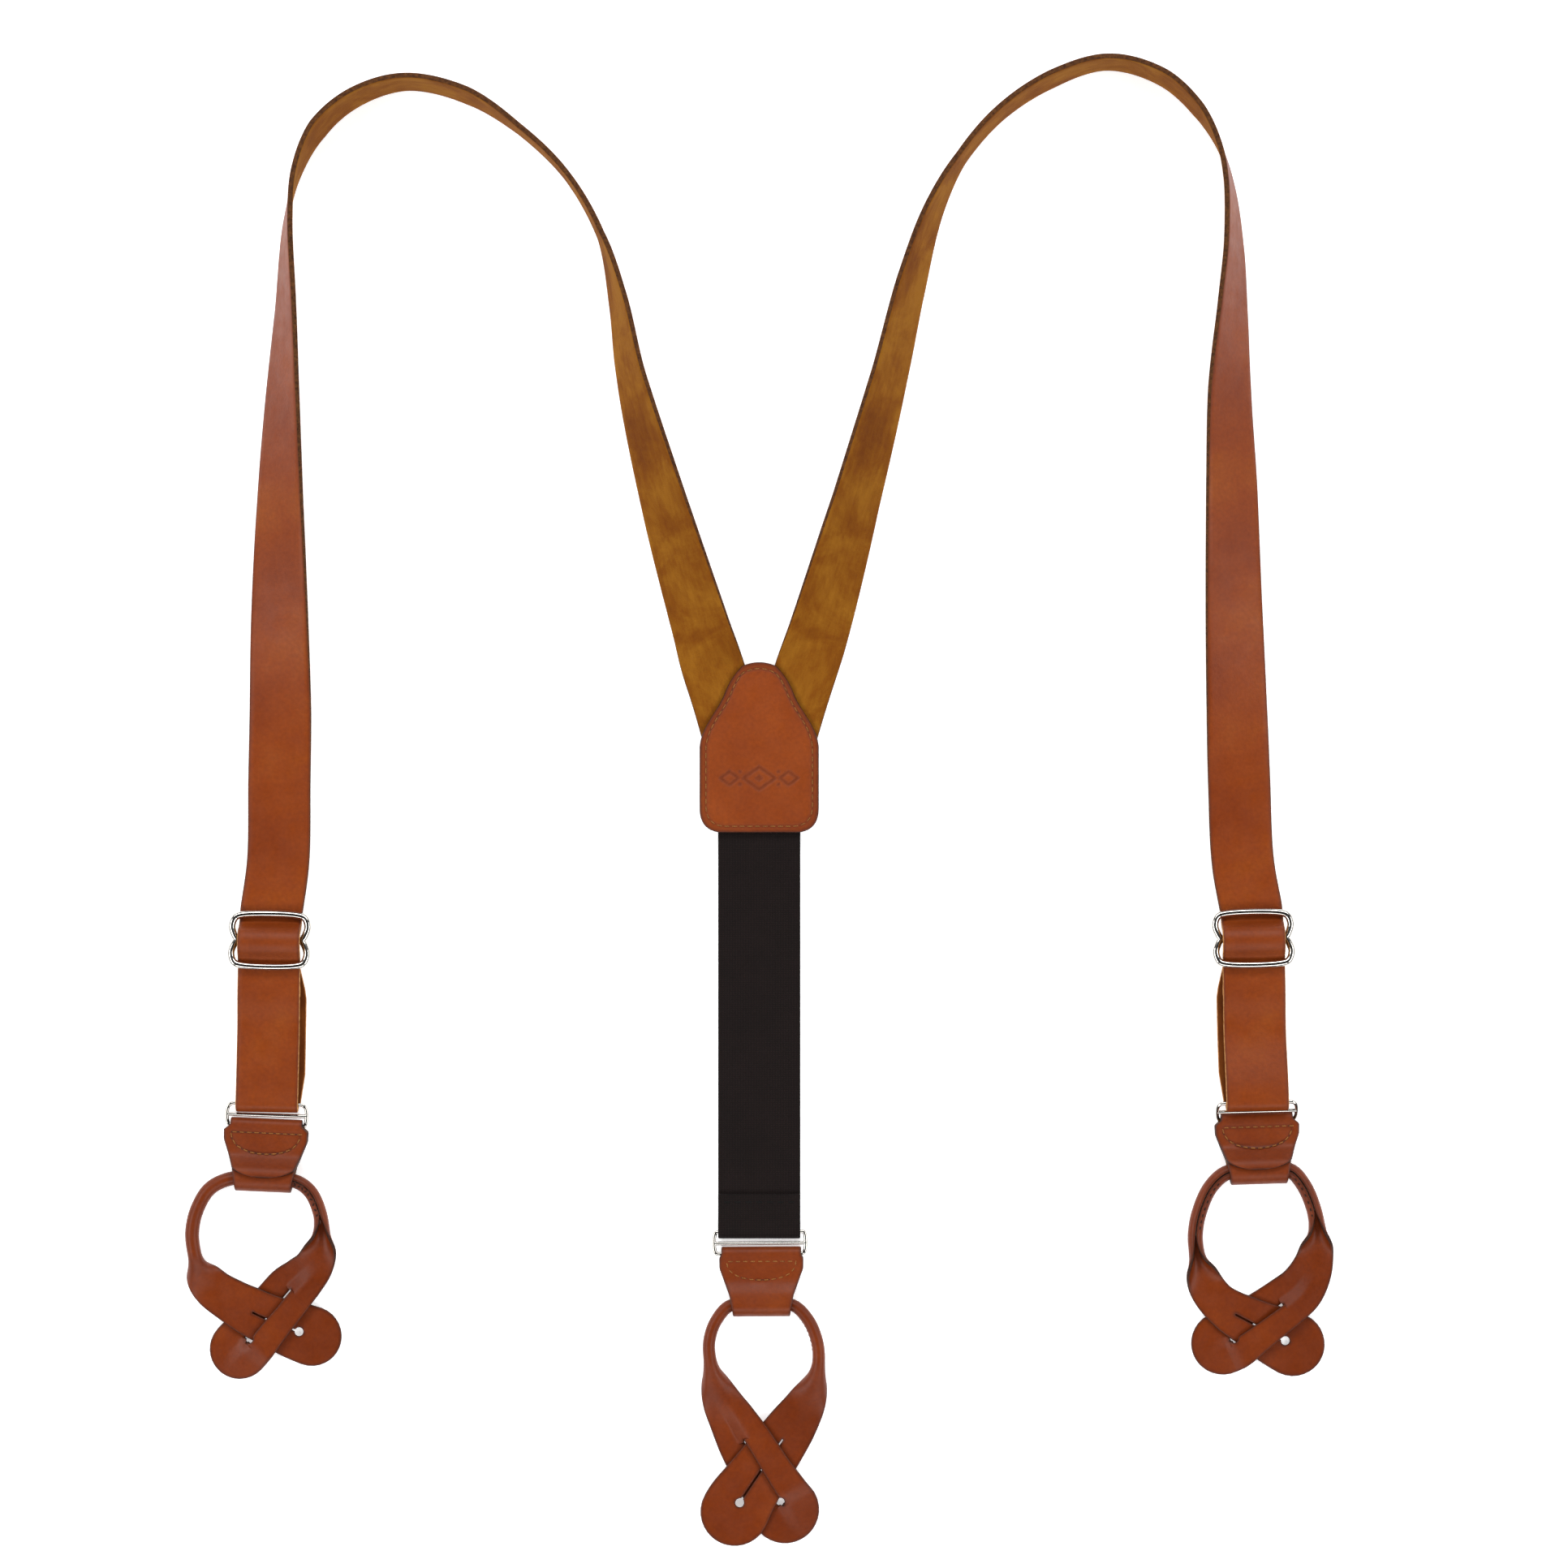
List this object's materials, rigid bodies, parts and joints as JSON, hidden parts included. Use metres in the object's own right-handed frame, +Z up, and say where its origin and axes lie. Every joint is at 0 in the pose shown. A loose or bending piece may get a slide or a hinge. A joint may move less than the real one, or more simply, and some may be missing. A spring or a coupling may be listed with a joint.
{
  "type": "suspenders",
  "caption": "Leather button-on suspenders: straps from a stitched yoke, an elastic back band, metal slides and rings, and rolled loops with slit paddle ends.",
  "frame": {"origin": "centre of the yoke's underside, on the surface the suspenders lie on", "axes": "+Y from the back button loop towards the shoulders, +Z up from the surface, +X to the right"},
  "size_m": [0.4662, 0.6032, 0.0255],
  "materials": {
    "grain_leather": "waxed bridle leather, satin",
    "suede": "napped flesh side, matte",
    "elastic": "ribbed woven elastic, matte",
    "nickel": "polished nickel plate",
    "tan_thread": "waxed linen thread",
    "dark_thread": "polyester thread",
    "cord": "cotton cord"
  },
  "bodies": {
    "harness": {"yoke_inner_patch": "grain_leather", "yoke_outer_patch": "grain_leather", "yoke_thread": "tan_thread", "left_strap": "suede", "right_strap": "suede"},
    "back_band": {"elastic_band": "elastic", "elastic_thread": "dark_thread"},
    "back_ring_body": {"back_ring": "nickel"},
    "back_holder_body": {"back_holder": "grain_leather", "back_holder_thread": "tan_thread"},
    "back_loop_body": {"back_button_loop": "grain_leather", "back_loop_core": "cord", "back_loop_thread": "tan_thread"},
    "left_slide": {"left_adjuster": "nickel", "left_strap_end_thread": "tan_thread"},
    "left_drop": {"left_strap_loop": "grain_leather"},
    "left_ring_body": {"left_ring": "nickel"},
    "left_holder_body": {"left_holder": "grain_leather", "left_holder_thread": "tan_thread"},
    "left_loop_body": {"left_button_loop": "grain_leather", "left_loop_core": "cord", "left_loop_thread": "tan_thread"},
    "right_slide": {"right_adjuster": "nickel", "right_strap_end_thread": "tan_thread"},
    "right_drop": {"right_strap_loop": "grain_leather"},
    "right_ring_body": {"right_ring": "nickel"},
    "right_holder_body": {"right_holder": "grain_leather", "right_holder_thread": "tan_thread"},
    "right_loop_body": {"right_button_loop": "grain_leather", "right_loop_core": "cord", "right_loop_thread": "tan_thread"}
  },
  "joints": [
    {"name": "left_adjuster_travel", "type": "slide", "parent": "harness", "child": "left_slide", "axis": [0.0175, 0.9998, 0], "range_m": [-0.04, 0.06], "deforming": ["left_strap"]},
    {"name": "left_take_up", "type": "slide", "parent": "left_slide", "child": "left_drop", "axis": [0.0175, 0.9998, 0], "range_m": [-0.03, 0.02], "deforming": ["left_strap_loop"]},
    {"name": "left_ring_swing", "type": "hinge", "parent": "left_drop", "child": "left_ring_body", "pos_m": [-0.19976, -0.14469, 0.00345], "axis": [0.9995, -0.0332, 0], "range_deg": [-60, 60]},
    {"name": "left_holder_swing", "type": "hinge", "parent": "left_ring_body", "child": "left_holder_body", "pos_m": [-0.20005, -0.15346, 0.00285], "axis": [-0.999, 0.0454, 0], "range_deg": [-75, 75]},
    {"name": "left_loop_swing", "type": "hinge", "parent": "left_holder_body", "child": "left_loop_body", "pos_m": [-0.20105, -0.17534, 0.00495], "axis": [0.999, -0.0454, 0], "range_deg": [-90, 90]},
    {"name": "right_adjuster_travel", "type": "slide", "parent": "harness", "child": "right_slide", "axis": [-0.0209, 0.9998, 0], "range_m": [-0.04, 0.06], "deforming": ["right_strap"]},
    {"name": "right_take_up", "type": "slide", "parent": "right_slide", "child": "right_drop", "axis": [-0.0209, 0.9998, 0], "range_m": [-0.03, 0.02], "deforming": ["right_strap_loop"]},
    {"name": "right_ring_swing", "type": "hinge", "parent": "right_drop", "child": "right_ring_body", "pos_m": [0.20179, -0.14389, 0.00815], "axis": [0.9997, 0.0262, 0], "range_deg": [-97, 23]},
    {"name": "right_holder_swing", "type": "hinge", "parent": "right_ring_body", "child": "right_holder_body", "pos_m": [0.20198, -0.15091, 0.00285], "axis": [-0.9995, -0.0314, 0], "range_deg": [-100, 42]},
    {"name": "right_loop_swing", "type": "hinge", "parent": "right_holder_body", "child": "right_loop_body", "pos_m": [0.20264, -0.172, 0.0052], "axis": [0.9995, 0.0314, 0], "range_deg": [-65, 90]},
    {"name": "elastic_stretch", "type": "slide", "parent": "harness", "child": "back_band", "axis": [0, -1, 0], "range_m": [0, 0.07], "stiffness_N_per_m": 300, "deforming": ["elastic_band"]},
    {"name": "back_ring_swing", "type": "hinge", "parent": "back_band", "child": "back_ring_body", "pos_m": [0.00025, -0.1967, 0.00275], "axis": [0.9999, 0.0105, 0], "range_deg": [-60, 60]},
    {"name": "back_holder_swing", "type": "hinge", "parent": "back_ring_body", "child": "back_holder_body", "pos_m": [0.00084, -0.20549, 0.00285], "axis": [-1, -0.0052, 0], "range_deg": [-75, 75]},
    {"name": "back_loop_swing", "type": "hinge", "parent": "back_holder_body", "child": "back_loop_body", "pos_m": [0.00095, -0.22629, 0.0046], "axis": [1, 0.0052, 0], "range_deg": [-90, 90]}
  ],
  "couplings": [
    {"joint": "left_take_up", "follows": "left_adjuster_travel", "ratio": -0.5},
    {"joint": "right_take_up", "follows": "right_adjuster_travel", "ratio": -0.5}
  ]
}
